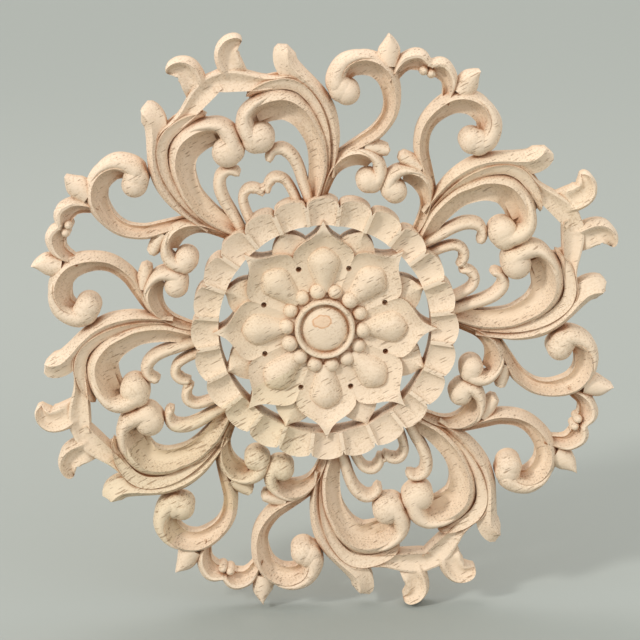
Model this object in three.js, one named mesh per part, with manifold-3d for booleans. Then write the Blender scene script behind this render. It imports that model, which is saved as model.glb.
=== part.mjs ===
// A round openwork applique carved from one board: an eight-petalled flower in a ring of scallops,
// with four leaf scrolls and four lyre scrolls around it. Millimetres, Z up, the flat back at Y = 0.
import * as THREE from "three";
import { mergeVertices } from "three/addons/utils/BufferGeometryUtils.js";
import Module from "manifold-3d";

// Driving dimensions
const span = 300; // across the tips of two opposite leaf scrolls
const boardThickness = 20; // from the flat back to the top of the ring's ridges

// Proportions of the carving. Distances in the plane are in petal lengths, from the middle of the
// flower to a petal's tip. Heights above the back are shares of the board's thickness.
const tipReach = 2.735;
const petalLength = span / 2 / tipReach;
const quarterTurn = Math.PI / 2;
const leafAxis = THREE.MathUtils.degToRad(22.5); // the leaf scrolls' first axis, from +X

// Flower and ring
const petalCount = 8;
const petalNotch = 0.705;
const petalShoulder = 0.125;
const petalPoint = 0.17;
const petalPointSpread = 0.15;
const beadCount = 14;
const beadCircle = 0.34;
const beadRadius = 0.073;
const firstBead = THREE.MathUtils.degToRad(-3.5); // angle of the first bead, from +X
const scallopCount = 24;
const ringLap = 0.05; // how far a petal's point reaches onto the ring
const ringWidth = 0.18; // at a ridge between two cups
const scallopRise = 0.06; // how far a cup's round end stands out past the ridges
const ringInner = petalNotch + petalShoulder + petalPoint - ringLap;
const ringCusp = ringInner + ringWidth;
const ringCrown = ringCusp + scallopRise;

const wasm = await Module();
wasm.setup();

// A closed geometry as a solid that can be joined to others.
function solidOf(geometry) {
  const bare = geometry.clone();
  bare.deleteAttribute("normal");
  bare.deleteAttribute("uv");
  const merged = mergeVertices(bare, 1e-4);
  return new wasm.Manifold(
    new wasm.Mesh({
      numProp: 3,
      vertProperties: new Float32Array(merged.attributes.position.array),
      triVerts: new Uint32Array(merged.index.array),
    }),
  );
}

function geometryOf(solid) {
  const mesh = solid.getMesh();
  const geometry = new THREE.BufferGeometry();
  geometry.setAttribute("position", new THREE.BufferAttribute(mesh.vertProperties, 3));
  geometry.setIndex(new THREE.BufferAttribute(mesh.triVerts, 1));
  return geometry;
}

// A point of the carving: x and z in petal lengths, height as a share of the thickness.
function point(x, z, height) {
  return new THREE.Vector3(x * petalLength, -height * boardThickness, z * petalLength);
}

// The triangles that close one end of a loft, wound anticlockwise about the way of travel.
function endTriangles(outline) {
  return THREE.ShapeUtils.triangulateShape(outline, []).map(([a, b, c]) => {
    const ab = outline[b].clone().sub(outline[a]);
    const ac = outline[c].clone().sub(outline[a]);
    return ab.cross(ac) > 0 ? [a, b, c] : [a, c, b];
  });
}

// A solid through sections with equally many corners, each wound anticlockwise about the way of
// travel. Without ends it is a loop, whose last section joins its first. Otherwise ends holds the
// flat outlines of the first and the last section, which close it.
function loft(sections, ends = null) {
  const corners = sections[0].length;
  const stretches = ends ? sections.length - 1 : sections.length;
  const index = [];
  for (let i = 0; i < stretches; i++) {
    const here = i * corners;
    const next = ((i + 1) % sections.length) * corners;
    for (let j = 0; j < corners; j++) {
      const k = (j + 1) % corners;
      index.push(here + j, here + k, next + k, here + j, next + k, next + j);
    }
  }
  if (ends) {
    const last = stretches * corners;
    for (const [a, b, c] of endTriangles(ends[0])) index.push(a, c, b);
    for (const [a, b, c] of endTriangles(ends[1])) index.push(last + a, last + b, last + c);
  }
  const geometry = new THREE.BufferGeometry().setFromPoints(sections.flat());
  geometry.setIndex(index);
  return geometry;
}

// Profiles across a stroke, from its left edge to its right: place across, share of the crest.
const cove = [
  [0, 0.5],
  [0.45, 0.5],
  [0.74, 1],
  [1, 0.78],
];
const coveToRight = cove.map(([across, share]) => [1 - across, share]).reverse();
const rolled = [
  [0, 0.72],
  [0.3, 0.96],
  [0.7, 0.96],
  [1, 0.72],
];
const ridge = [
  [0, 0.75],
  [0.5, 1],
  [1, 0.7],
];
const horn = [
  [0, 0.75],
  [0.25, 1],
  [1, 0.72],
];
const scoop = [
  [0, 0.6],
  [0.6, 1],
  [1, 0.8],
];
const slab = [
  [0, 0.9],
  [1, 0.9],
];
const coveAndLeaf = [
  [0, 0.5],
  [0.27, 0.5],
  [0.44, 1],
  [0.56, 0.8],
  [0.8, 0.96],
  [1, 0.66],
];
const wideCoveAndLeaf = [
  [0, 0.5],
  [0.4, 0.5],
  [0.56, 1],
  [0.68, 0.82],
  [0.86, 0.96],
  [1, 0.7],
];

// One carved stroke. Its path holds x, z and width along its middle line, its crest runs from the
// height start to the height end, and its profile turns into lastProfile over the stretch turning.
function stroke({ path, profile, lastProfile = profile, turning = [0, 1], start, end, steps }) {
  const line = new THREE.CatmullRomCurve3(
    path.map((place) => new THREE.Vector3(...place)),
    false,
    "catmullrom",
    0.5,
  );
  const profileAt = (turned) =>
    profile.map(([across, share], i) => [
      THREE.MathUtils.lerp(across, lastProfile[i][0], turned),
      THREE.MathUtils.lerp(share, lastProfile[i][1], turned),
    ]);
  const sections = [];
  for (let i = 0; i <= steps; i++) {
    const share = i / steps;
    const { x, y: z, z: width } = line.getPoint(share);
    const way = line.getTangent(share).setZ(0).normalize();
    const crest = THREE.MathUtils.lerp(start, end, share);
    const at = (across, height) => {
      const aside = (0.5 - across) * width;
      return point(x - way.y * aside, z + way.x * aside, height);
    };
    const top = profileAt(THREE.MathUtils.smoothstep(share, ...turning)).map(
      ([across, shareOfCrest]) => at(across, shareOfCrest * crest),
    );
    sections.push([at(0, 0), ...top, at(1, 0)]);
  }
  const outlineOf = (shape) =>
    [[0, 0], ...shape, [1, 0]].map(([across, height]) => new THREE.Vector2(-across, height));
  return loft(sections, [outlineOf(profile), outlineOf(lastProfile)]);
}

// Half of one leaf scroll, to the right of its axis, which runs up from the flower.
const leafScrollHalf = [
  // The great scroll, a deep cove with its rim, and the leaf that wraps it outside
  stroke({
    path: [
      [0.4, ringCusp, 0.19],
      [0.555, 1.31, 0.24],
      [0.66, 1.52, 0.28],
      [0.698, 1.71, 0.34],
      [0.675, 1.89, 0.4],
      [0.545, 2.04, 0.4],
      [0.385, 2.09, 0.405],
      [0.195, 2.1, 0.4],
    ],
    profile: coveAndLeaf,
    lastProfile: wideCoveAndLeaf,
    start: 0.62,
    end: 0.84,
    steps: 6,
  }),
  // The lower horn of that leaf
  stroke({
    path: [
      [0.745, 2.0, 0.15],
      [0.66, 2.17, 0.2],
      [0.633, 2.27, 0.2],
      [0.645, 2.36, 0.18],
      [0.7, 2.43, 0.08],
    ],
    profile: ridge,
    start: 0.76,
    end: 0.8,
    steps: 3,
  }),
  // The lobe that bridges the axis
  stroke({
    path: [
      [0.43, 2.235, 0.11],
      [0.2, 2.36, 0.19],
      [-0.01, 2.415, 0.155],
    ],
    profile: slab,
    start: 0.7,
    end: 0.66,
    steps: 2,
  }),
  // The upper horn, which curls outwards
  stroke({
    path: [
      [0.19, 2.38, 0.2],
      [0.165, 2.5, 0.2],
      [0.185, 2.595, 0.19],
      [0.25, 2.651, 0.16],
      [0.352, 2.665, 0.095],
    ],
    profile: horn,
    start: 0.6,
    end: 0.75,
    steps: 4,
  }),
  // The volute that the great scroll ends in
  stroke({
    path: [
      [0.36, 2.14, 0.08],
      [0.19, 2.075, 0.15],
      [0.115, 1.95, 0.24],
      [0.135, 1.82, 0.3],
      [0.145, 1.72, 0.23],
      [0.145, 1.67, 0.08],
    ],
    profile: ridge,
    start: 0.84,
    end: 0.88,
    steps: 4,
  }),
  // The inner hook
  stroke({
    path: [
      [0.335, ringCusp, 0.09],
      [0.36, 1.4, 0.105],
      [0.352, 1.52, 0.11],
      [0.3, 1.615, 0.11],
      [0.22, 1.635, 0.09],
      [0.15, 1.58, 0.05],
    ],
    profile: slab,
    start: 0.6,
    end: 0.62,
    steps: 4,
  }),
  // The cusped arc over the ring
  stroke({
    path: [
      [0.225, ringCusp, 0.09],
      [0.225, ringCusp + 0.12, 0.085],
      [0.2, 1.36, 0.085],
      [0.12, 1.41, 0.09],
      [-0.01, 1.365, 0.07],
    ],
    profile: slab,
    start: 0.56,
    end: 0.56,
    steps: 4,
  }),
];

// Half of one lyre scroll, to the right of its axis.
const lyreScrollHalf = [
  // The arm, a cove with its rim outside, which rolls up into a volute
  stroke({
    path: [
      [0.43, 1.5, 0.08],
      [0.375, 1.575, 0.1],
      [0.295, 1.675, 0.12],
      [0.215, 1.79, 0.13],
      [0.172, 1.92, 0.135],
      [0.168, 2.02, 0.143],
      [0.195, 2.12, 0.155],
      [0.255, 2.225, 0.18],
      [0.335, 2.305, 0.2],
      [0.45, 2.35, 0.215],
      [0.57, 2.335, 0.215],
      [0.67, 2.27, 0.2],
      [0.72, 2.17, 0.185],
      [0.7, 2.07, 0.2],
      [0.62, 2.01, 0.23],
      [0.55, 2.0, 0.18],
      [0.51, 2.0, 0.07],
    ],
    profile: coveToRight,
    lastProfile: rolled,
    turning: [0.6, 0.75],
    start: 0.6,
    end: 0.84,
    steps: 9,
  }),
  // The curl that leans on the ring
  stroke({
    path: [
      [0.465, ringCusp + 0.03, 0.09],
      [0.45, 1.33, 0.11],
      [0.375, 1.49, 0.17],
      [0.27, 1.56, 0.2],
      [0.16, 1.54, 0.19],
      [0.11, 1.46, 0.22],
      [0.12, 1.36, 0.25],
      [0.13, 1.28, 0.18],
      [0.135, 1.25, 0.07],
    ],
    profile: cove,
    lastProfile: rolled,
    turning: [0.4, 0.6],
    start: 0.58,
    end: 0.78,
    steps: 6,
  }),
  // The stub leaf between arm and curl
  stroke({
    path: [
      [0.22, 1.665, 0.12],
      [0.042, 1.692, 0.08],
    ],
    profile: slab,
    start: 0.6,
    end: 0.6,
    steps: 1,
  }),
  // The pointed bud on the arm's shoulder
  stroke({
    path: [
      [0.36, 2.42, 0.17],
      [0.378, 2.52, 0.185],
      [0.43, 2.635, 0.01],
    ],
    profile: ridge,
    start: 0.65,
    end: 0.62,
    steps: 2,
  }),
  // The scallop that bridges the two arms
  stroke({
    path: [
      [0.218, 2.33, 0.09],
      [0.205, 2.46, 0.14],
      [0.115, 2.525, 0.185],
      [-0.01, 2.49, 0.12],
    ],
    profile: scoop,
    start: 0.65,
    end: 0.68,
    steps: 3,
  }),
];

// The ring of scallops: cups with a ridge between each two, on a round wall.
function scallopRing() {
  const cupPlaces = [-1, -0.5, 0.5];
  const halfPitch = Math.PI / scallopCount;
  const sections = [];
  for (let i = 0; i < scallopCount; i++) {
    for (const place of cupPlaces) {
      const angle = (2 * i + place) * halfPitch;
      const cup = Math.sqrt(1 - place * place);
      const outer = ringCusp + (ringCrown - ringCusp) * cup;
      const at = (radius, height) => point(radius * Math.cos(angle), radius * Math.sin(angle), height);
      sections.push([
        at(ringInner, 0),
        at(ringInner, 0.94 - 0.14 * cup),
        at(outer, 1 - 0.14 * cup),
        at(outer, 0),
      ]);
    }
  }
  return loft(sections);
}

// How far the petals' edge lies from the middle, at a share of the way from a petal's axis to the
// notch beside it: a rounded shoulder with a fine point on it.
function petalEdge(share) {
  const round = petalShoulder * (1 - share * share) ** 0.6;
  return petalNotch + round + petalPoint * Math.exp(-share / petalPointSpread);
}

// How high the petals' surface stands, at a place from a petal's axis, 0, to a notch, 1 or -1, and
// at a distance from the middle: a dish with a raised edge and an egg-shaped boss in it.
function petalHeight(place, radius) {
  const dish = 0.56 + 0.1 * Math.abs(place) + 0.1 * radius * radius;
  const across = place / 0.66;
  const along = (radius - 0.57) / 0.21;
  const inEgg = 1 - across * across - along * along;
  return dish + (inEgg > 0 ? 0.24 * Math.sqrt(inEgg) : 0);
}

// The eight petals as one body.
function petals() {
  const places = [-1, -0.7, -0.35, 0, 0.35, 0.7];
  const radii = [0.36, 0.49, 0.67, 0.79];
  const lip = 0.87;
  const halfPitch = Math.PI / petalCount;
  const sections = [];
  for (let i = 0; i < petalCount; i++) {
    for (const place of places) {
      const angle = (2 * i + place) * halfPitch;
      const edge = petalEdge(Math.abs(place));
      const at = (radius, height) => point(radius * Math.cos(angle), radius * Math.sin(angle), height);
      sections.push([
        at(radii[0], 0),
        ...radii.map((radius) => at(Math.min(radius, 0.93 * edge), petalHeight(place, radius))),
        at(edge, lip - 0.1 * Math.abs(place)),
        at(edge, 0),
      ]);
    }
  }
  return loft(sections);
}

// The sepal between two petals, along +Z.
const sepal = stroke({
  path: [
    [0, ringInner - 0.33, 0.36],
    [0, ringInner - 0.08, 0.22],
    [0, ringInner + 0.035, 0.03],
  ],
  profile: slab,
  start: 0.74,
  end: 1,
  steps: 2,
});

// The button in the middle, with a groove and a rim around it, on a round plate.
function button() {
  const buttonProfile = [
    [0, 0],
    [0.46, 0],
    [0.46, 0.5],
    [0.28, 0.5],
    [0.262, 0.84],
    [0.232, 0.84],
    [0.212, 0.66],
    [0.17, 0.8],
    [0, 0.86],
  ].map(([radius, height]) => new THREE.Vector2(radius * petalLength, height * boardThickness));
  return new THREE.LatheGeometry(buttonProfile, 14).rotateX(Math.PI);
}

// The string of beads around the button.
function beads() {
  const sides = 6;
  const beadProfile = [
    [0, 0],
    [1, 0],
    [0.8, 0.82],
    [0, 0.87],
  ].map(
    ([out, height]) =>
      new THREE.Vector2(out * beadRadius * petalLength, height * boardThickness),
  );
  return fullCircle(firstBead, beadCount).map((angle) =>
    new THREE.LatheGeometry(beadProfile, sides)
      .rotateX(Math.PI)
      .translate(0, 0, beadCircle * petalLength)
      .rotateY(quarterTurn - angle),
  );
}

// Copies of a geometry turned about the middle, so that its +Z falls on each angle from +X.
function turned(geometry, angles) {
  return angles.map((angle) => geometry.clone().rotateY(quarterTurn - angle));
}

function mirrored(geometry) {
  const copy = geometry.clone().scale(-1, 1, 1);
  const index = copy.index.array;
  for (let i = 0; i < index.length; i += 3) {
    [index[i + 1], index[i + 2]] = [index[i + 2], index[i + 1]];
  }
  return copy;
}

function joined(geometries) {
  return geometryOf(wasm.Manifold.union(geometries.map(solidOf)));
}

function fullCircle(first, count) {
  return Array.from({ length: count }, (unused, i) => first + (2 * Math.PI * i) / count);
}

const leafHalf = joined(leafScrollHalf);
const lyreHalf = joined(lyreScrollHalf);
const leafAngles = fullCircle(leafAxis, 4);
const lyreAngles = fullCircle(leafAxis + quarterTurn / 2, 4);
const carving = joined([
  ...turned(leafHalf, leafAngles),
  ...turned(mirrored(leafHalf), leafAngles),
  ...turned(lyreHalf, lyreAngles),
  ...turned(mirrored(lyreHalf), lyreAngles),
  scallopRing(),
  petals(),
  ...turned(sepal, fullCircle(Math.PI / petalCount, petalCount)),
  ...beads(),
  button(),
]);

const paleWood = new THREE.MeshStandardMaterial({ color: 0xe6cda6, roughness: 0.8, metalness: 0 });
const rosette = new THREE.Mesh(carving, paleWood);
rosette.name = "rosette_applique";

const applique = new THREE.Group();
applique.add(rosette);

export default applique;
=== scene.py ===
# A round openwork applique carved from one board of pale hardwood: an eight-petalled flower in a
# ring of scallops, with four leaf scrolls and four lyre scrolls around it.
import math

import bpy
import numpy as np
from mathutils import Matrix, Vector


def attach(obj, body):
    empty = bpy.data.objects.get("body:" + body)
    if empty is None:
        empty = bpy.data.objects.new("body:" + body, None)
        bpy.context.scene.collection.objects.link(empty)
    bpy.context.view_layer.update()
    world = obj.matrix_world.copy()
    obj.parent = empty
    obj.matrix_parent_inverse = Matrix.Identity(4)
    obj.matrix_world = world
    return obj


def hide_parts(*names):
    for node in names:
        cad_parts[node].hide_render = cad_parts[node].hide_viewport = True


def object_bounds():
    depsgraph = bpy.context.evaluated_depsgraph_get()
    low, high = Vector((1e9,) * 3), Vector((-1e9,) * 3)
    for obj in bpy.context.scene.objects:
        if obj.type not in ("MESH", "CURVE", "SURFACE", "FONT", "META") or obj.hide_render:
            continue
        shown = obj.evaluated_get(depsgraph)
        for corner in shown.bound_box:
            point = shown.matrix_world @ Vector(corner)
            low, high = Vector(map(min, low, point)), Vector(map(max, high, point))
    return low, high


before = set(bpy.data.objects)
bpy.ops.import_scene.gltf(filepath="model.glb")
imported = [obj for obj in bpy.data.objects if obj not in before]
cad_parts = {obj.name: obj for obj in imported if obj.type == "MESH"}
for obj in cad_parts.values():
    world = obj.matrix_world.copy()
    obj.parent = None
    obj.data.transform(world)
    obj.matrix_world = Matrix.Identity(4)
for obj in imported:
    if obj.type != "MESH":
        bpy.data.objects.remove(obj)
cad_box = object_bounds()

# Sizes. Distances in the plane of the carving are in petal lengths, from the middle of the flower
# to a petal's tip, and heights above the back are shares of the board's thickness.
SPAN = 0.300
TIP_REACH = 2.735
PETAL = SPAN / 2 / TIP_REACH
THICKNESS = 0.020
SCROLLS = 4  # of each of the two kinds
LEAF_AXIS = math.radians(22.5)

PETALS = 8
PETAL_NOTCH = 0.705
PETAL_SHOULDER = 0.125
PETAL_POINT = 0.17
PETAL_POINT_SPREAD = 0.15
PETAL_INNER = 0.36
PETAL_GROUND = 0.57  # height of its floor near the middle
PETAL_RIM = 0.91  # height of its lip at the point
DRILLED_HOLE = (0.585, 0.026)  # how far from the middle, and its radius

SCALLOPS = 24
RING_INNER = 0.95
RING_CUSP = 1.12
RING_CROWN = 1.195
SCALLOP_CUP = 0.86  # share of a scallop's half width that is hollowed out
SCALLOP_DEPTH = 0.2
SCALLOP_STEEPNESS = 0.36  # the smaller, the crisper the ridges
RING_HEIGHTS = (0.94, 1.0)  # of the ridges, at the ring's inner and outer edge

BEADS = 14
BEAD_CIRCLE = 0.34
BEAD_RADIUS = 0.076
BEAD_CREST = 0.88
FIRST_BEAD = math.radians(-3.5)

END_WIDTH = 0.04  # share of a stroke's width that is left at the tip of a rounded end
END_CREST = 0.72  # and of its crest


def smooth(low, high, value):
    """0 below low, 1 above high, and a soft step between them."""
    share = np.clip((value - low) / (high - low), 0, 1)
    return share * share * (3 - 2 * share)


def at(x, z, height):
    """A point of the carving, from petal lengths and a share of the thickness."""
    return (x * PETAL, -height * THICKNESS, z * PETAL)


def curve(points, count):
    """Rows evenly spaced along a Catmull-Rom curve through the points, whose first two numbers
    are x and z."""
    points = np.array(points, float)
    ends = 2 * points[[0, -1]] - points[[1, -2]]
    padded = np.vstack([ends[:1], points, ends[1:]])

    def rows(t):
        i = np.minimum(t.astype(int), len(points) - 2)
        u = (t - i)[:, None]
        a, b, c, d = (padded[i + k] for k in range(4))
        bend = (2 * a - 5 * b + 4 * c - d) * u**2 + (3 * b - a - 3 * c + d) * u**3
        return (2 * b + (c - a) * u + bend) / 2

    fine = np.linspace(0, len(points) - 1, 40 * len(points))
    steps = np.hypot(*np.diff(rows(fine)[:, :2], axis=0).T)
    run = np.concatenate([[0], np.cumsum(steps)])
    return rows(np.interp(np.linspace(0, run[-1], count), run, fine))


def profile(*runs, density=14):
    """A profile across a stroke from smooth runs that meet in creases. Each run holds places
    across, from 0 at the left edge to 1 at the right, and shares of the crest."""
    rows = []
    for run in runs:
        length = run[-1][0] - run[0][0]
        rows.extend(curve(run, max(3, round(density * length)))[0 if not rows else 1 :])
    return np.array(rows)


def mirror_profile(shape):
    return shape[::-1] * [-1, 1] + [1, 0]


def shown(name, data):
    """A new object in the scene for a mesh, a light or a camera."""
    made = bpy.data.objects.new(name, data)
    bpy.context.scene.collection.objects.link(made)
    return made


def mesh_object(name, vertices, faces):
    mesh = bpy.data.meshes.new(name)
    mesh.from_pydata([tuple(v) for v in vertices], [], faces)
    mesh.validate()
    return shown(name, mesh)


def loft(name, sections, closed=False):
    """A solid through sections with equally many corners, wound anticlockwise about the way of
    travel. A closed one is a loop."""
    corners = len(sections[0])
    count = len(sections)
    faces = []
    for i in range(count if closed else count - 1):
        here, after = i * corners, (i + 1) % count * corners
        for j in range(corners):
            k = (j + 1) % corners
            faces.append((here + j, here + k, after + k, after + j))
    if not closed:
        faces.append(tuple(range(corners))[::-1])
        faces.append(tuple((count - 1) * corners + j for j in range(corners)))
    return mesh_object(name, [corner for section in sections for corner in section], faces)


def stroke(name, path, shape, last=None, turning=(0, 1), steps=30, rounded=(0, 0)):
    """A carved stroke. Its path holds x, z, width and crest height. Its profile turns from shape
    into last over the stretch turning. Each end is rounded off over the length in rounded."""
    last = shape if last is None else last
    rows = curve(path, steps + 1)
    ways = np.gradient(rows[:, :2], axis=0)
    ways /= np.hypot(*ways.T)[:, None]
    run = np.concatenate([[0], np.cumsum(np.hypot(*np.diff(rows[:, :2], axis=0).T))])
    sections = []
    for i, (x, z, width, crest) in enumerate(rows):
        blend = smooth(*turning, i / steps)
        here = shape * (1 - blend) + last * blend
        fall = 1.0
        for reach, away in ((rounded[0], run[i]), (rounded[1], run[-1] - run[i])):
            if reach and away < reach:
                fall *= math.sqrt(max(0.0, 1 - (1 - away / reach) ** 2))
        width *= max(fall, END_WIDTH)
        crest *= END_CREST + (1 - END_CREST) * fall
        left = (-ways[i][1], ways[i][0])
        points = [(0, 0)] + [(a, share * crest) for a, share in here] + [(1, 0)]
        sections.append(
            [
                at(x + left[0] * (0.5 - a) * width, z + left[1] * (0.5 - a) * width, h)
                for a, h in points
            ]
        )
    return loft(name, sections)


def lathe(name, x, z, rows, sides=40):
    """A turned solid on the back, from rows of radius and height, first and last on its axis."""
    sections = []
    for i in range(sides):
        angle = -2 * math.pi * i / sides
        sections.append(
            [at(x + r * math.cos(angle), z + r * math.sin(angle), h) for r, h in rows[1:-1]]
        )
    made = loft(name, sections, closed=True)
    mesh = made.data
    vertices = [v.co[:] for v in mesh.vertices]
    corners = len(rows) - 2
    faces = [tuple(p.vertices) for p in mesh.polygons]
    faces = [f for f in faces if not {c % corners for c in f} == {0, corners - 1}]
    low, high = len(vertices), len(vertices) + 1
    vertices += [at(x, z, rows[0][1]), at(x, z, rows[-1][1])]
    for i in range(sides):
        here, after = i * corners, (i + 1) % sides * corners
        faces.append((low, here, after))
        faces.append((high, after + corners - 1, here + corners - 1))
    bpy.data.objects.remove(made)
    return mesh_object(name, vertices, faces)


def dome_rows(radius, crest, roundness, steps):
    """Rows of radius and height for a domed boss. Roundness is the dome's share of the crest."""
    rows = [(0, 0), (radius, 0)]
    for i in range(steps):
        angle = math.pi / 2 * i / steps
        rows.append((radius * math.cos(angle), crest * (1 - roundness * (1 - math.sin(angle)))))
    return rows + [(0, crest)]


def boss(name, x, z, radius, crest, roundness=0.3):
    """A round boss with a domed top, such as the eye of a volute."""
    return lathe(name, x, z, dome_rows(radius, crest, roundness, 8))


def evaluated(piece):
    """The piece's mesh with its modifiers applied."""
    bpy.context.view_layer.update()
    graph = bpy.context.evaluated_depsgraph_get()
    return bpy.data.meshes.new_from_object(piece.evaluated_get(graph))


def combined(name, pieces, operation="UNION"):
    """The pieces joined into one mesh, or all but the first cut out of the first."""
    others = bpy.data.collections.new(name)
    for piece in pieces[1:]:
        others.objects.link(piece)
    join = pieces[0].modifiers.new("join", "BOOLEAN")
    join.operation = operation
    join.solver = "MANIFOLD"
    join.operand_type = "COLLECTION"
    join.collection = others
    mesh = evaluated(pieces[0])
    for piece in pieces:
        bpy.data.objects.remove(piece)
    bpy.data.collections.remove(others)
    return shown(name, mesh)


# Profiles across the strokes
COVE = profile(
    [(0, 0.6), (0.03, 0.56), (0.2, 0.46), (0.4, 0.48), (0.56, 0.68), (0.67, 1.0)],
    [(0.67, 1.0), (0.72, 0.99), (0.86, 0.72), (1, 0.42)],
)
DEEP_COVE = profile(
    [(0, 0.32), (0.03, 0.3), (0.2, 0.22), (0.4, 0.26), (0.56, 0.55), (0.67, 1.0)],
    [(0.67, 1.0), (0.72, 1.0), (0.86, 0.86), (1, 0.6)],
)
COVE_TO_RIGHT = mirror_profile(COVE)
DOME = profile(
    [(0, 0.6), (0.06, 0.76), (0.2, 0.91), (0.35, 0.98), (0.5, 1)],
    [(0.5, 1), (0.65, 0.98), (0.8, 0.91), (0.94, 0.76), (1, 0.6)],
)
RIDGE = profile(
    [(0, 0.72), (0.3, 0.82), (0.64, 1)],
    [(0.64, 1), (0.82, 0.85), (1, 0.6)],
)
BAND = profile(
    [(0, 0.76), (0.3, 0.85), (0.65, 0.92), (0.82, 1)],
    [(0.82, 1), (0.9, 0.95), (1, 0.7)],
)
LEAFLET = profile(
    [(0, 0.84), (0.3, 0.84), (0.6, 0.89), (0.85, 1)],
    [(0.85, 1), (0.93, 0.94), (1, 0.76)],
)
LEAFLET_END = profile(
    [(0, 0.97), (0.1, 0.9), (0.45, 0.78), (0.85, 0.94)],
    [(0.85, 0.94), (0.93, 0.94), (1, 0.82)],
)
HORN = profile(
    [(0, 0.66), (0.06, 0.84), (0.16, 0.99), (0.25, 0.98), (0.3, 0.9)],
    [(0.3, 0.9), (0.4, 0.76), (0.65, 0.72), (0.9, 0.84), (1, 0.76)],
)
HORN_ROOT = HORN * [1, 0.15] + [0, 0.7]
HOLLOW = profile(
    [(0, 0.7), (0.03, 0.66), (0.18, 0.52), (0.36, 0.54), (0.53, 0.74), (0.63, 0.96)],
    [(0.63, 0.96), (0.73, 1), (0.88, 0.88), (1, 0.64)],
)
BED = profile([(0, 1), (1, 1)])
EGG = profile(
    [(0, 0.6), (0.05, 0.74), (0.18, 0.88), (0.34, 0.97), (0.5, 1)],
    [(0.5, 1), (0.66, 0.97), (0.82, 0.88), (0.95, 0.74), (1, 0.6)],
)
SEPAL = profile([(0, 0.86), (0.25, 0.93), (0.5, 1)], [(0.5, 1), (0.75, 0.93), (1, 0.86)])


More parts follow.
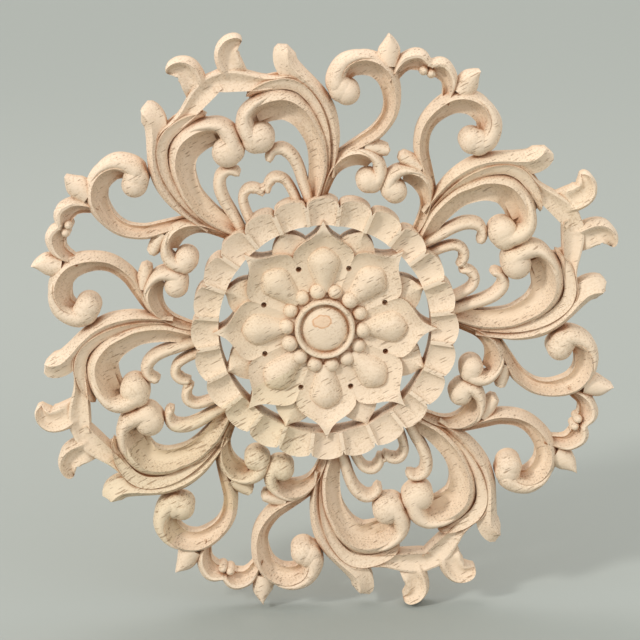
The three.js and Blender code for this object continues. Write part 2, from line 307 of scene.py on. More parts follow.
def leaf_scroll_half():
    """Half of one leaf scroll, to the right of its axis, which runs up from the flower."""
    return [
        stroke(
            "bed",
            [
                (0.4, 1.13, 0.17, 0.25),
                (0.555, 1.31, 0.22, 0.25),
                (0.66, 1.52, 0.26, 0.25),
                (0.698, 1.71, 0.32, 0.25),
                (0.675, 1.89, 0.37, 0.25),
                (0.545, 2.04, 0.37, 0.25),
                (0.385, 2.09, 0.37, 0.25),
                (0.21, 2.1, 0.36, 0.25),
            ],
            BED,
            steps=24,
        ),
        stroke(
            "great_scroll",
            [
                (0.38, 1.11, 0.14, 0.62),
                (0.525, 1.315, 0.195, 0.66),
                (0.605, 1.525, 0.21, 0.7),
                (0.612, 1.68, 0.222, 0.74),
                (0.585, 1.84, 0.26, 0.78),
                (0.492, 1.972, 0.29, 0.8),
                (0.345, 2.02, 0.29, 0.8),
                (0.22, 2.0, 0.26, 0.74),
                (0.11, 1.92, 0.2, 0.66),
            ],
            COVE,
            last=DEEP_COVE,
            turning=(0.55, 0.9),
            steps=50,
        ),
        stroke(
            "leaf",
            [
                (0.6, 1.22, 0.05, 0.6),
                (0.7, 1.4, 0.07, 0.65),
                (0.763, 1.56, 0.115, 0.7),
                (0.793, 1.74, 0.15, 0.75),
                (0.783, 1.9, 0.155, 0.78),
                (0.738, 2.04, 0.155, 0.8),
                (0.672, 2.17, 0.185, 0.81),
                (0.635, 2.27, 0.2, 0.82),
                (0.638, 2.345, 0.205, 0.82),
                (0.66, 2.4, 0.19, 0.81),
                (0.7, 2.438, 0.14, 0.8),
            ],
            RIDGE,
            steps=48,
            rounded=(0, 0.05),
        ),
        stroke(
            "inner_band",
            [
                (0.57, 1.25, 0.03, 0.55),
                (0.665, 1.45, 0.05, 0.62),
                (0.715, 1.62, 0.075, 0.68),
                (0.733, 1.78, 0.09, 0.73),
                (0.722, 1.92, 0.1, 0.75),
                (0.672, 2.06, 0.115, 0.76),
                (0.575, 2.15, 0.12, 0.76),
                (0.46, 2.188, 0.11, 0.74),
                (0.36, 2.2, 0.09, 0.71),
                (0.27, 2.195, 0.06, 0.67),
                (0.19, 2.17, 0.03, 0.6),
            ],
            BAND,
            steps=44,
            rounded=(0, 0.04),
        ),
        stroke(
            "lobe",
            [
                (0.7, 2.1, 0.07, 0.74),
                (0.6, 2.165, 0.09, 0.74),
                (0.48, 2.195, 0.1, 0.72),
                (0.37, 2.235, 0.125, 0.7),
                (0.265, 2.292, 0.16, 0.69),
                (0.165, 2.347, 0.19, 0.68),
                (0.06, 2.388, 0.19, 0.67),
                (-0.02, 2.405, 0.155, 0.66),
            ],
            LEAFLET,
            last=LEAFLET_END,
            turning=(0.3, 0.55),
            steps=40,
        ),
        stroke(
            "upper_horn",
            [
                (0.2, 2.33, 0.18, 0.5),
                (0.18, 2.44, 0.215, 0.74),
                (0.176, 2.53, 0.22, 0.77),
                (0.197, 2.6, 0.215, 0.78),
                (0.24, 2.641, 0.178, 0.78),
                (0.292, 2.652, 0.145, 0.78),
                (0.33, 2.647, 0.126, 0.77),
                (0.356, 2.634, 0.104, 0.75),
            ],
            HORN_ROOT,
            last=HORN,
            turning=(0.12, 0.42),
            steps=44,
            rounded=(0, 0.075),
        ),
        stroke(
            "volute",
            [
                (0.49, 2.085, 0.03, 0.6),
                (0.4, 2.1, 0.06, 0.72),
                (0.3, 2.103, 0.085, 0.82),
                (0.2, 2.08, 0.105, 0.87),
                (0.122, 2.035, 0.13, 0.88),
                (0.082, 1.955, 0.165, 0.89),
                (0.08, 1.87, 0.175, 0.9),
                (0.105, 1.79, 0.17, 0.89),
                (0.15, 1.745, 0.1, 0.84),
            ],
            DOME,
            steps=34,
            rounded=(0, 0.06),
        ),
        boss("volute_eye", 0.158, 1.795, 0.133, 0.9, roundness=0.36),
        boss("volute_bulb", 0.118, 1.8, 0.124, 0.895, roundness=0.34),
        stroke(
            "hook",
            [
                (0.33, 1.1, 0.09, 0.55),
                (0.345, 1.27, 0.1, 0.56),
                (0.36, 1.4, 0.105, 0.58),
                (0.352, 1.52, 0.11, 0.6),
                (0.3, 1.615, 0.11, 0.6),
                (0.22, 1.635, 0.09, 0.6),
                (0.165, 1.6, 0.085, 0.6),
                (0.15, 1.55, 0.08, 0.6),
            ],
            DOME,
            steps=30,
            rounded=(0, 0.05),
        ),
        stroke(
            "cusped_arc",
            [
                (0.225, 1.1, 0.09, 0.5),
                (0.225, 1.25, 0.085, 0.52),
                (0.2, 1.36, 0.085, 0.54),
                (0.13, 1.41, 0.09, 0.55),
                (0.06, 1.385, 0.085, 0.55),
                (0.03, 1.335, 0.07, 0.54),
                (0.035, 1.3, 0.05, 0.52),
            ],
            DOME,
            steps=30,
            rounded=(0, 0.03),
        ),
        stroke(
            "arc_bridge",
            [(0.1, 1.385, 0.06, 0.5), (0.04, 1.365, 0.065, 0.5), (-0.02, 1.36, 0.065, 0.5)],
            DOME,
            steps=6,
        ),
    ]


def lyre_scroll_half():
    """Half of one lyre scroll, to the right of its axis."""
    return [
        stroke(
            "arm",
            [
                (0.44, 1.5, 0.07, 0.6),
                (0.375, 1.575, 0.1, 0.62),
                (0.295, 1.675, 0.12, 0.64),
                (0.215, 1.79, 0.13, 0.66),
                (0.172, 1.92, 0.135, 0.68),
                (0.168, 2.02, 0.143, 0.7),
                (0.195, 2.12, 0.155, 0.72),
                (0.255, 2.225, 0.18, 0.74),
                (0.335, 2.305, 0.2, 0.76),
                (0.45, 2.342, 0.21, 0.78),
                (0.56, 2.322, 0.21, 0.8),
                (0.643, 2.25, 0.18, 0.8),
                (0.665, 2.16, 0.13, 0.78),
                (0.645, 2.08, 0.08, 0.7),
            ],
            COVE_TO_RIGHT,
            steps=54,
        ),
        stroke(
            "arm_volute",
            [
                (0.44, 2.4, 0.03, 0.64),
                (0.53, 2.395, 0.06, 0.76),
                (0.63, 2.355, 0.095, 0.81),
                (0.71, 2.27, 0.135, 0.82),
                (0.733, 2.16, 0.16, 0.83),
                (0.708, 2.065, 0.18, 0.84),
                (0.655, 2.015, 0.12, 0.8),
            ],
            DOME,
            steps=26,
            rounded=(0, 0.05),
        ),
        boss("arm_eye", 0.594, 2.038, 0.116, 0.85, roundness=0.36),
        boss("arm_bulb", 0.65, 2.045, 0.116, 0.846, roundness=0.34),
        stroke(
            "curl",
            [
                (0.44, 1.06, 0.06, 0.5),
                (0.457, 1.19, 0.09, 0.57),
                (0.452, 1.31, 0.1, 0.6),
                (0.425, 1.41, 0.13, 0.63),
                (0.368, 1.495, 0.17, 0.67),
                (0.29, 1.545, 0.185, 0.7),
                (0.21, 1.55, 0.17, 0.71),
                (0.15, 1.53, 0.13, 0.7),
            ],
            COVE,
            last=DEEP_COVE,
            turning=(0.5, 0.9),
            steps=30,
        ),
        stroke(
            "curl_volute",
            [
                (0.36, 1.585, 0.03, 0.58),
                (0.27, 1.607, 0.055, 0.7),
                (0.17, 1.592, 0.08, 0.76),
                (0.092, 1.545, 0.11, 0.77),
                (0.053, 1.465, 0.135, 0.78),
                (0.058, 1.39, 0.135, 0.77),
                (0.09, 1.335, 0.09, 0.72),
            ],
            DOME,
            steps=24,
            rounded=(0, 0.05),
        ),
        boss("curl_eye", 0.128, 1.372, 0.108, 0.79, roundness=0.36),
        boss("curl_bulb", 0.094, 1.378, 0.101, 0.786, roundness=0.34),
        stroke(
            "stub",
            [
                (0.27, 1.645, 0.12, 0.6),
                (0.18, 1.66, 0.135, 0.6),
                (0.1, 1.675, 0.12, 0.58),
                (0.042, 1.692, 0.08, 0.56),
            ],
            DOME,
            steps=12,
            rounded=(0, 0.02),
        ),
        stroke(
            "bud",
            [
                (0.345, 2.38, 0.19, 0.64),
                (0.365, 2.455, 0.195, 0.65),
                (0.38, 2.53, 0.175, 0.64),
                (0.405, 2.59, 0.095, 0.62),
                (0.43, 2.635, 0.01, 0.6),
            ],
            DOME,
            steps=18,
        ),
        stroke(
            "bridge",
            [
                (0.27, 2.25, 0.06, 0.6),
                (0.25, 2.33, 0.1, 0.64),
                (0.235, 2.405, 0.125, 0.65),
                (0.197, 2.475, 0.155, 0.66),
                (0.115, 2.525, 0.185, 0.67),
                (0.04, 2.508, 0.15, 0.68),
                (-0.02, 2.495, 0.11, 0.66),
            ],
            COVE,
            last=HOLLOW,
            turning=(0.1, 0.5),
            steps=30,
        ),
        boss("bridge_curl", 0.036, 2.455, 0.042, 0.62),
    ]


def scallop_ring():
    """The ring of scallops: cups with a flat ridge between each two, on a round wall."""
    # Places across half a scallop, closest together where its cup falls away from the ridge
    side = [0.93, 0.865, 0.857, 0.848, 0.83, 0.795, 0.74, 0.655]
    places = np.concatenate([[-1], np.negative(side), np.linspace(-0.55, 0.55, 7), side[::-1]])
    depths = np.linspace(0, 1, 9)
    pitch = 2 * math.pi / SCALLOPS
    inner_height, outer_height = RING_HEIGHTS
    sections = []
    for i in range(SCALLOPS):
        for place in places:
            angle = (i + place / 2) * pitch
            arch = math.sqrt(max(0.0, 1 - place * place))
            outer = RING_CUSP + (RING_CROWN - RING_CUSP) * arch
            dish = max(0.0, 1 - (place / SCALLOP_CUP) ** 2) ** SCALLOP_STEEPNESS

            def spot(radius, height):
                return at(radius * math.cos(angle), radius * math.sin(angle), height)

            top = []
            for depth in depths:
                radius = RING_INNER + (outer - RING_INNER) * depth
                base = inner_height + (outer_height - inner_height) * depth
                spoon = 0.62 + 0.38 * math.sin(math.pi * depth**0.8)
                top.append(spot(radius, base - SCALLOP_DEPTH * dish * spoon))
            sections.append([spot(RING_INNER, 0)] + top + [spot(outer, 0)])
    return loft("ring", sections, closed=True)


def petal_edge(place):
    """How far the petals' edge lies from the middle: a rounded shoulder with a fine point."""
    shoulder = PETAL_SHOULDER * (1 - place * place) ** 0.6
    return PETAL_NOTCH + shoulder + PETAL_POINT * math.exp(-place / PETAL_POINT_SPREAD)


def petal_height(place, radius, edge):
    """How high the petals' surface stands: a dish that rises to a crisp edge."""
    ground = PETAL_GROUND + 0.05 * place**4
    rim = PETAL_RIM - 0.14 * place**2
    blunt = edge - PETAL_POINT * math.exp(-abs(place) / PETAL_POINT_SPREAD)
    blunt += 0.35 * PETAL_POINT * math.exp(-((place / 0.3) ** 2))
    reach = min(1.0, (radius - PETAL_INNER) / (blunt - PETAL_INNER))
    return ground + (rim - ground) * (0.35 * reach**2 + 0.65 * reach**6)


def petals():
    """The eight petals as one body."""
    half = np.concatenate([[0.03, 0.07, 0.12, 0.18], np.linspace(0.26, 0.9, 9), [0.96]])
    places = np.concatenate([[-1], -half[::-1], [0], half])
    shares = np.concatenate([np.linspace(0, 0.8, 13), [0.84, 0.88, 0.91, 0.94, 0.97, 1]])
    sections = []
    for i in range(PETALS):
        for place in places:
            angle = (2 * i + place) * math.pi / PETALS
            edge = petal_edge(abs(place))

            def spot(radius, height):
                return at(radius * math.cos(angle), radius * math.sin(angle), height)

            radii = PETAL_INNER + (edge - PETAL_INNER) * shares
            top = [spot(r, petal_height(place, r, edge)) for r in radii]
            sections.append([spot(PETAL_INNER, 0)] + top + [spot(edge, 0)])
    return loft("petals", sections, closed=True)


def button():
    """The button in the middle, with a groove and a rim around it, on a round plate."""
    plate = [(0, 0), (0.44, 0), (0.44, 0.58), (0.28, 0.6)]
    rim = [(0.266, 0.8), (0.262, 0.84), (0.254, 0.86), (0.24, 0.86), (0.232, 0.84)]
    groove = [(0.222, 0.72), (0.212, 0.68), (0.204, 0.7)]
    dome = [(0.192, 0.77), (0.16, 0.825), (0.12, 0.85), (0.06, 0.865), (0, 0.87)]
    return lathe("button", 0, 0, plate + rim + groove + dome, sides=64)


def sepal():
    """One sepal, which shows between two petals."""
    return stroke(
        "sepal",
        [
            (0, 0.62, 0.36, 0.66),
            (0, 0.78, 0.34, 0.7),
            (0, 0.87, 0.23, 0.75),
            (0, 0.925, 0.08, 0.82),
            (0, 0.965, 0.02, 0.88),
        ],
        SEPAL,
        steps=20,
    )


def egg():
    """The egg-shaped boss in one petal."""
    return stroke(
        "egg",
        [
            (0, 0.33, 0.19, 0.7),
            (0, 0.4, 0.2, 0.75),
            (0, 0.48, 0.245, 0.81),
            (0, 0.56, 0.295, 0.86),
            (0, 0.64, 0.325, 0.88),
            (0, 0.75, 0.32, 0.85),
        ],
        EGG,
        steps=36,
        rounded=(0, 0.16),
    )


def bead():
    return lathe("bead", 0, 0, dome_rows(BEAD_RADIUS, BEAD_CREST, 0.25, 9), sides=24)


def drilled_hole():
    """What one blind hole takes away, with the drill's blunt point."""
    away, radius = DRILLED_HOLE
    rows = [(0, 0.4), (0.5 * radius, 0.42), (radius, 0.6), (radius, 1.2), (0, 1.2)]
    return lathe("hole", 0, away, rows, sides=16)


# Copies around the flower, by one Geometry Nodes tree
def copies_tree():
    """A tree that turns copies of its mesh about the middle, mirrored or not."""
    tree = bpy.data.node_groups.new("copies_around", "GeometryNodeTree")
    inputs = {
        "Geometry": "NodeSocketGeometry",
        "Copies": "NodeSocketInt",
        "First Angle": "NodeSocketFloat",
        "Reach": "NodeSocketFloat",
        "Mirrored": "NodeSocketBool",
        "Unevenness": "NodeSocketFloat",
        "Seed": "NodeSocketInt",
        "Material": "NodeSocketMaterial",
    }
    for name, kind in inputs.items():
        tree.interface.new_socket(name, in_out="INPUT", socket_type=kind)
    tree.interface.new_socket("Geometry", in_out="OUTPUT", socket_type="NodeSocketGeometry")

    def node(kind, settings=None, inputs=None):
        new = tree.nodes.new(kind)
        for name, value in (settings or {}).items():
            setattr(new, name, value)
        for name, value in (inputs or {}).items():
            socket = new.inputs[name]
            if isinstance(value, bpy.types.NodeSocket):
                tree.links.new(value, socket)
            else:
                socket.default_value = value
        return new

    given = node("NodeGroupInput").outputs
    flipped = node(
        "GeometryNodeTransform",
        inputs={"Geometry": given["Geometry"], "Scale": (-1, 1, 1)},
    )
    righted = node("GeometryNodeFlipFaces", inputs={"Mesh": flipped.outputs[0]})
    side = node(
        "GeometryNodeSwitch",
        {"input_type": "GEOMETRY"},
        {
            "Switch": given["Mirrored"],
            "False": given["Geometry"],
            "True": righted.outputs[0],
        },
    )
    index = node("GeometryNodeInputIndex").outputs[0]

    def math_node(operation, *values):
        return node("ShaderNodeMath", {"operation": operation}, dict(enumerate(values))).outputs[0]

    # A turn about +Y runs from +Z to +X, so the angle from +X is taken from a quarter turn.
    share = math_node("DIVIDE", index, given["Copies"])
    turn = math_node("MULTIPLY_ADD", share, -2 * math.pi, math.pi / 2)
    turn = math_node("SUBTRACT", turn, given["First Angle"])
    spot = node(
        "ShaderNodeCombineXYZ",
        inputs={
            "X": math_node("MULTIPLY", math_node("SINE", turn), given["Reach"]),
            "Z": math_node("MULTIPLY", math_node("COSINE", turn), given["Reach"]),
        },
    )
    points = node(
        "GeometryNodePoints",
        inputs={"Count": given["Copies"], "Position": spot.outputs[0]},
    )
    about = node("ShaderNodeCombineXYZ", inputs={"Y": turn})
    uneven = node(
        "FunctionNodeRandomValue",
        {"data_type": "FLOAT"},
        {
            "Min": math_node("SUBTRACT", 1.0, given["Unevenness"]),
            "Max": 1.0,
            "Seed": given["Seed"],
        },
    )
    placed = node(
        "GeometryNodeInstanceOnPoints",
        inputs={
            "Points": points.outputs[0],
            "Instance": side.outputs[0],
            "Rotation": about.outputs[0],
            "Scale": uneven.outputs["Value"],
        },
    )
    real = node("GeometryNodeRealizeInstances", inputs={"Geometry": placed.outputs[0]})
    dressed = node(
        "GeometryNodeSetMaterial",
        inputs={"Geometry": real.outputs[0], "Material": given["Material"]},
    )
    out = node("NodeGroupOutput")
    tree.links.new(dressed.outputs[0], out.inputs["Geometry"])
    return tree


def around(
    tree, piece, count, first, material, reach=0.0, mirrored=False, unevenness=0.0, seed=0
):
    """Copies of a piece turned about the middle, so that its +Z falls on each angle from +X."""
    spread = piece.modifiers.new("copies", "NODES")
    spread.node_group = tree
    values = {
        "Copies": count,
        "First Angle": first,
        "Reach": reach,
        "Mirrored": mirrored,
        "Unevenness": unevenness,
        "Seed": seed,
        "Material": material,
    }
    for item in tree.interface.items_tree:
        if item.in_out == "INPUT" and item.name in values:
            spread[item.identifier] = values[item.name]
    mesh = evaluated(piece)
    piece.modifiers.remove(spread)
    return shown(piece.name + "_around", mesh)


def once_around(tree, piece, count, first, material, **settings):
    """The copies that around makes, with the piece itself taken away."""
    made = around(tree, piece, count, first, material, **settings)
    bpy.data.objects.remove(piece)
    return made


# Material
class Signal:
    """An output in a material's tree. Sums and products of signals add Math nodes."""

    def __init__(self, tree, output=None):
        self.tree = tree
        self.output = output

    def node(self, kind, settings=None, inputs=None, output=0):
        made = self.tree.nodes.new(kind)
        for name, value in (settings or {}).items():
            if name == "stops":
                ramp = made.color_ramp
                while len(ramp.elements) < len(value):
                    ramp.elements.new(0.5)
                for element, (place, colour) in zip(ramp.elements, value):
                    element.position = place
                    element.color = colour
            else:
                setattr(made, name, value)
        for name, value in (inputs or {}).items():
            if isinstance(value, Signal):
                self.tree.links.new(value.output, made.inputs[name])
            else:
                made.inputs[name].default_value = value
        return Signal(self.tree, made.outputs[output] if made.outputs else None)

    def math(self, operation, *others):
        """This value first and then the others, through one math node."""
        values = dict(enumerate((self, *others)))
        return self.node("ShaderNodeMath", {"operation": operation}, values)

    def __add__(self, other):
        return self.math("ADD", other)

    def __mul__(self, other):
        return self.math("MULTIPLY", other)

    def __sub__(self, other):
        return self.math("SUBTRACT", other)

    def __rsub__(self, other):
        return self * -1.0 + other

    def __truediv__(self, other):
        return self.math("DIVIDE", other)

    __radd__ = __add__
    __rmul__ = __mul__

    def between(self, low, high, start=0.0, end=1.0):
        """A soft step of this value from start at low to end at high."""
        return self.node(
            "ShaderNodeMapRange",
            {"interpolation_type": "SMOOTHSTEP"},
            {"Value": self, "From Min": low, "From Max": high, "To Min": start, "To Max": end},
        )

    def vector(self, operation, *others, output=0):
        """This vector first and then the others, through one vector math node."""
        values = dict(enumerate((self, *others)))
        return self.node("ShaderNodeVectorMath", {"operation": operation}, values, output)

    def axis(self, number):
        """One number of this vector: 0 for X, 1 for Y, 2 for Z."""
        return self.node("ShaderNodeSeparateXYZ", inputs={"Vector": self}, output=number)

    def cells(self, per_metre):
        """This place in even cells, so many to the metre."""
        return self.vector("MULTIPLY", (per_metre, per_metre, per_metre))

    def along_grain(self, length, width, depth=None):
        """This place turned to the grain, in cells of this length, width and depth."""
        scale = (length, depth or width, width)
        return self.node(
            "ShaderNodeMapping",
            {"vector_type": "TEXTURE"},
            {"Vector": self, "Rotation": (0, -GRAIN, 0), "Scale": scale},
        )

    def noise(self, detail=2.0):
        """Soft noise with one swell to a cell of this vector."""
        return self.node(
            "ShaderNodeTexNoise",
            {"noise_dimensions": "3D"},
            {"Vector": self, "Scale": 1.0, "Detail": detail},
        )

    def mix(self, below, above):
        """The colour below where this value is 0, and above where it is 1."""
        return self.node(
            "ShaderNodeMix",
            {"data_type": "RGBA"},
            {"Factor": self, 6: below, 7: above},
            output=2,
        )


def rgb(red, green, blue):
    """A colour from display values of 0 to 255."""
    return tuple((c / 255) ** 2.2 for c in (red, green, blue)) + (1.0,)


# Pale hardwood, with lengths in metres
GRAIN = math.radians(26)  # the way the pores run, from +X towards +Z
STRIP_WIDTH = 0.052
STRIP_SHIFT = 0.2  # share of a strip's width
GLUE_LINE = 0.0002  # half its width
STRIP_TINTS = [
    (0.0, rgb(224, 204, 180)),
    (0.35, rgb(227, 206, 182)),
    (0.65, rgb(224, 204, 178)),
    (1.0, rgb(226, 204, 182)),
]
CLOUD = rgb(227, 206, 184)
COARSE_STRIP = rgb(214, 198, 167)
FIBRE = rgb(209, 184, 153)
OPEN_PORE = rgb(118, 84, 54)
PORE_DEPTH = 0.006
FUZZ = rgb(172, 140, 102)
KNOT = rgb(220, 176, 138)
KNOT_LINE = rgb(196, 132, 80)
KNOT_CENTRE = (-0.001, 0.0, 0.0042)
KNOT_SCALE = (1 / 0.005, 0.0, 1 / 0.0034)  # its half width and half height, turned to 1
# Painted shade in tight corners, partly the cutter's scorch
SCORCH_AND_CORNER_SHADE = rgb(172, 110, 60)
CORNER_REACH = 0.007
# Painted shade on the walls deep in the openings
DEEP_WALL_SHADE = rgb(186, 151, 113)
CUTTER_PIT = rgb(136, 102, 72)


def board_colour(place, across):
    """Strips of the glued board, each with a tint of its own, under soft clouds."""
    number = (across / STRIP_WIDTH + STRIP_SHIFT).math("FLOOR")
    tint = place.node("ShaderNodeTexWhiteNoise", {"noise_dimensions": "1D"}, {"W": number})
    strips = place.node("ShaderNodeValToRGB", {"stops": STRIP_TINTS}, {"Fac": tint})
    clouds = place.along_grain(0.06, 0.03).noise(detail=3.0).between(0.38, 0.66)
    return (clouds * 0.45).mix(strips, CLOUD)


def coarse_strip(place, across):
    """1 at the left end of the strip below the middle, whose wood is coarser."""
    top = -STRIP_SHIFT * STRIP_WIDTH
    foot = top - STRIP_WIDTH
    below_top = across.between(top - GLUE_LINE, top + GLUE_LINE, 1.0, 0.0)
    above_foot = across.between(foot - GLUE_LINE, foot + GLUE_LINE)
    return below_top * above_foot * place.axis(0).between(-0.002, -0.02)


def open_pores(place, coarse):
    """1 in the open pores, short and long ones, which are larger in patches."""
    wander = place.along_grain(0.005, 0.005).noise() * 0.3
    patches = place.along_grain(0.03, 0.014).noise().between(0.36, 0.62)

    def pores(length, width, size):
        """Pores in cells of this length and width. The size is a share of a cell's."""
        where = place.along_grain(length, width, PORE_DEPTH).vector("ADD", wander)
        cells = place.node(
            "ShaderNodeTexVoronoi", {"feature": "F1"}, {"Vector": where, "Scale": 1.0}
        )
        return (cells / size).between(1.0, 0.55)

    short_pores = pores(0.0085, 0.0011, 0.11 + patches * 0.14 + coarse * 0.08)
    long_pores = pores(0.019, 0.0018, 0.13 + patches * 0.08 + coarse * 0.1)
    return short_pores.math("MAXIMUM", long_pores)


def raised_fuzz(place):
    """1 in the fuzz that the cutter raises, most of it in patches."""
    fuzz = place.cells(1100.0).noise(detail=1.0).between(0.5, 0.68)
    patches = place.cells(55.0).noise().between(0.38, 0.6)
    return fuzz * (patches * 0.8 + 0.2)


def with_knot(place, colour):
    """The colour with the button's small knot in it, and the dark line around the knot."""
    from_knot = place.vector("SUBTRACT", KNOT_CENTRE).vector("MULTIPLY", KNOT_SCALE)
    reach = from_knot.vector("LENGTH", output="Value") + place.cells(230.0).noise() * 0.9 - 0.35
    colour = (reach.between(1.0, 0.9) * 0.38).mix(colour, KNOT)
    line = reach.between(1.15, 1.02) * reach.between(0.85, 0.98)
    return (line * 0.6).mix(colour, KNOT_LINE)


def scorch_and_corner_shade(place):
    """1 in tight corners: painted shade, with the cutter's scorch there too."""
    open_sky = place.node(
        "ShaderNodeAmbientOcclusion",
        {"samples": 6, "only_local": True},
        {"Distance": CORNER_REACH},
        output="AO",
    )
    return open_sky.between(0.6, 0.2) * place.cells(90.0).noise().between(0.3, 0.6)


def cutter_pits(place, height, frontness):
    """1 in the pits that the cutter leaves on steep slopes."""
    steep = frontness.between(0.88, 0.62) * height.between(0.1, 0.3)
    cells = place.node(
        "ShaderNodeTexVoronoi",
        {"feature": "F1"},
        {"Vector": place.along_grain(0.0015, 0.0012), "Scale": 1.0, "Randomness": 0.45},
    )
    return cells.between(0.42, 0.12) * steep


def wood_material():
    wood = bpy.data.materials.new("pale_wood")
    wood.use_nodes = True
    wood.node_tree.nodes.clear()
    start = Signal(wood.node_tree)
    place = start.node("ShaderNodeTexCoord", output="Object")
    across = place.along_grain(1, 1).axis(2)
    height = place.axis(1) * (-1 / THICKNESS)
    frontness = start.node("ShaderNodeNewGeometry", output="Normal").axis(1) * -1.0

    coarse = coarse_strip(place, across)
    fibres = place.along_grain(0.02, 0.0006).noise(detail=3.0)
    pores = open_pores(place, coarse)
    fuzz = raised_fuzz(place)
    pits = cutter_pits(place, height, frontness)
    deep_wall_shade = height.between(0.4, 0.05) * frontness.between(-0.9, -0.5)  # painted shade, darker the deeper the wall lies, but not on the back

    colour = board_colour(place, across)
    colour = (coarse * 0.6).mix(colour, COARSE_STRIP)
    colour = (fibres.between(0.4, 0.75) * 0.4).mix(colour, FIBRE)
    colour = (pores * 0.54).mix(colour, OPEN_PORE)
    colour = (fuzz * 0.3).mix(colour, FUZZ)
    colour = with_knot(place, colour)
    # Painted shade in tight corners from ambient occlusion, partly the cutter's scorch
    colour = (scorch_and_corner_shade(place) * 0.8).mix(colour, SCORCH_AND_CORNER_SHADE)
    # Painted shade that deepens towards the back of the walls
    colour = (deep_wall_shade * 0.4).mix(colour, DEEP_WALL_SHADE)
    colour = (pits * 0.4).mix(colour, CUTTER_PIT)

    rough_cut = place.cells(1500.0).noise()
    swells = place.cells(260.0).noise()
    relief = fibres * 0.5 + rough_cut * 0.35 + swells * 1.6 - pores * 1.1 - pits * 0.7 - fuzz * 0.6
    bump = start.node(
        "ShaderNodeBump",
        inputs={"Strength": 0.45, "Distance": 0.0004, "Height": relief},
    )
    shader = start.node(
        "ShaderNodeBsdfPrincipled",
        inputs={
            "Base Color": colour,
            "Roughness": 0.72 + pores * 0.15,
            "Normal": bump,
            "Specular IOR Level": 0.3,
        },
    )
    start.node("ShaderNodeOutputMaterial", inputs={"Surface": shader})
    return wood


# The carving
CREASE = math.radians(38)  # a sharper turn between two faces stays an edge


def carve(wood):
    """The whole carving in one mesh."""
    tree = copies_tree()
    leaf_half = combined("leaf_half", leaf_scroll_half())
    lyre_half = combined("lyre_half", lyre_scroll_half())
    parts = []
    for half, first in ((leaf_half, LEAF_AXIS), (lyre_half, LEAF_AXIS + math.pi / SCROLLS)):
        for mirrored in (False, True):
            parts.append(around(tree, half, SCROLLS, first, wood, mirrored=mirrored))
        bpy.data.objects.remove(half)
    between_petals = math.pi / PETALS
    parts.append(once_around(tree, sepal(), PETALS, between_petals, wood))
    parts.append(once_around(tree, egg(), PETALS, 0.0, wood))
    string = {"reach": BEAD_CIRCLE * PETAL, "unevenness": 0.12, "seed": 4}
    parts.append(once_around(tree, bead(), BEADS, FIRST_BEAD, wood, **string))
    parts += [scallop_ring(), petals(), button()]
    joined = combined("joined", parts)
    holes = once_around(tree, drilled_hole(), PETALS, between_petals, wood)
    return combined("carved_rosette", [joined, holes], "DIFFERENCE")


pale_wood = wood_material()
carving = carve(pale_wood)
carving.data.materials.clear()
carving.data.materials.append(pale_wood)
carving.data.shade_smooth()
carving.data.set_sharp_from_angle(angle=CREASE)
print("triangles", sum(len(p.vertices) - 2 for p in carving.data.polygons))

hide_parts("rosette_applique")
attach(carving, "root")

# Floor, light and camera
FLOOR_HALF = 8.0
FLOOR_GAP = 0.0005  # below the carving
FLOOR_GREY = rgb(152, 158, 154)


def plain_floor():
    paint = bpy.data.materials.new("floor_paint")
    paint.use_nodes = True
    inputs = paint.node_tree.nodes["Principled BSDF"].inputs
    inputs["Base Color"].default_value = FLOOR_GREY
    inputs["Roughness"].default_value = 0.9
    height = cad_box[0][2] - FLOOR_GAP
    corners = [
        (x * FLOOR_HALF, y * FLOOR_HALF, height) for x, y in ((-1, -1), (1, -1), (1, 1), (-1, 1))
    ]
    floor = mesh_object("floor", corners, [(0, 1, 2, 3)])
    floor.data.materials.append(paint)
    return floor


plain_floor()


def lamp(name, kind, place, power, colour, **settings):
    """A light at a place, aimed at the carving."""
    light = bpy.data.lights.new(name, kind)
    light.energy = power
    light.color = colour
    for setting, value in settings.items():
        setattr(light, setting, value)
    made = shown(name, light)
    made.location = place
    made.rotation_euler = (-Vector(place)).to_track_quat("-Z", "Y").to_euler()


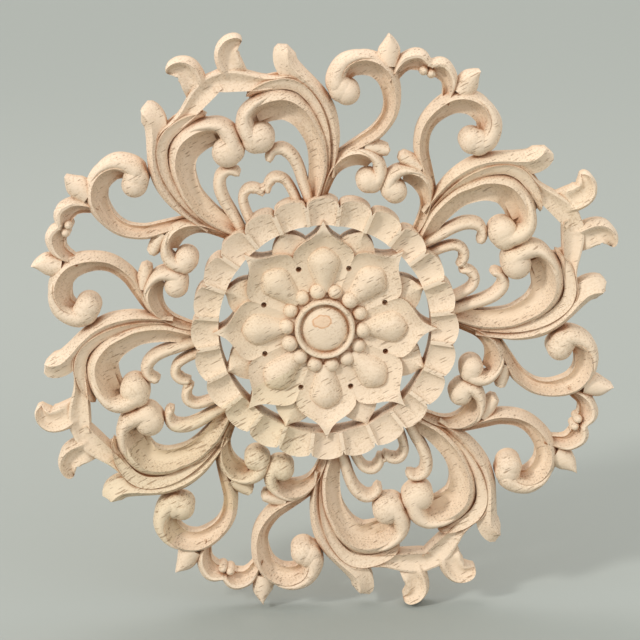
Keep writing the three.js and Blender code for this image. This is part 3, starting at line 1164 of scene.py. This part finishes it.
lamp("key", "SUN", (-1.1, -0.98, 0.85), 1.65, (1.0, 0.98, 0.94), angle=math.radians(9))
lamp("top", "AREA", (-0.5, 0.9, 1.5), 7, (1.0, 0.88, 0.86), shape="DISK", size=1.0)
lamp("fill", "AREA", (0.9, -1.6, 0.9), 4, (0.95, 0.97, 1.0), shape="DISK", size=1.2)
bpy.context.scene.view_settings.view_transform = "Standard"
world = bpy.data.worlds.new("studio")
world.use_nodes = True
background = world.node_tree.nodes["Background"].inputs
background["Color"].default_value = (1.0, 0.98, 0.94, 1)
background["Strength"].default_value = 1.0
bpy.context.scene.world = world

CAMERA_AZIMUTH = math.radians(-0.9)
CAMERA_ELEVATION = math.radians(12.9)
CAMERA_ROLL = math.radians(-1.0)
CAMERA_DISTANCE = 1.155
SENSOR_WIDTH = 36.0
PICTURE = 640  # pixels across, in which the next two are given too
FOCAL_LENGTH = 2330.0
CENTRE_IN_PICTURE = (324.3, 322.5)


def picture_camera():
    """The camera, aimed at the middle of the back, which the shift puts off centre."""
    level = math.cos(CAMERA_ELEVATION)
    back = Vector(
        (
            math.sin(CAMERA_AZIMUTH) * level,
            -math.cos(CAMERA_AZIMUTH) * level,
            math.sin(CAMERA_ELEVATION),
        )
    )
    right = Vector((math.cos(CAMERA_AZIMUTH), math.sin(CAMERA_AZIMUTH), 0))
    up = back.cross(right)
    rolled_right = math.cos(CAMERA_ROLL) * right + math.sin(CAMERA_ROLL) * up
    rolled_up = math.cos(CAMERA_ROLL) * up - math.sin(CAMERA_ROLL) * right
    lens = bpy.data.cameras.new("camera")
    lens.sensor_width = SENSOR_WIDTH
    lens.lens = FOCAL_LENGTH * SENSOR_WIDTH / PICTURE
    lens.shift_x = (PICTURE / 2 - CENTRE_IN_PICTURE[0]) / PICTURE
    lens.shift_y = (CENTRE_IN_PICTURE[1] - PICTURE / 2) / PICTURE
    lens.clip_start = 0.05
    camera = shown("camera", lens)
    turn = Matrix((rolled_right, rolled_up, back)).transposed()
    camera.matrix_world = Matrix.Translation(back * CAMERA_DISTANCE) @ turn.to_4x4()
    return camera


bpy.context.scene.camera = picture_camera()

bpy.context.view_layer.update()
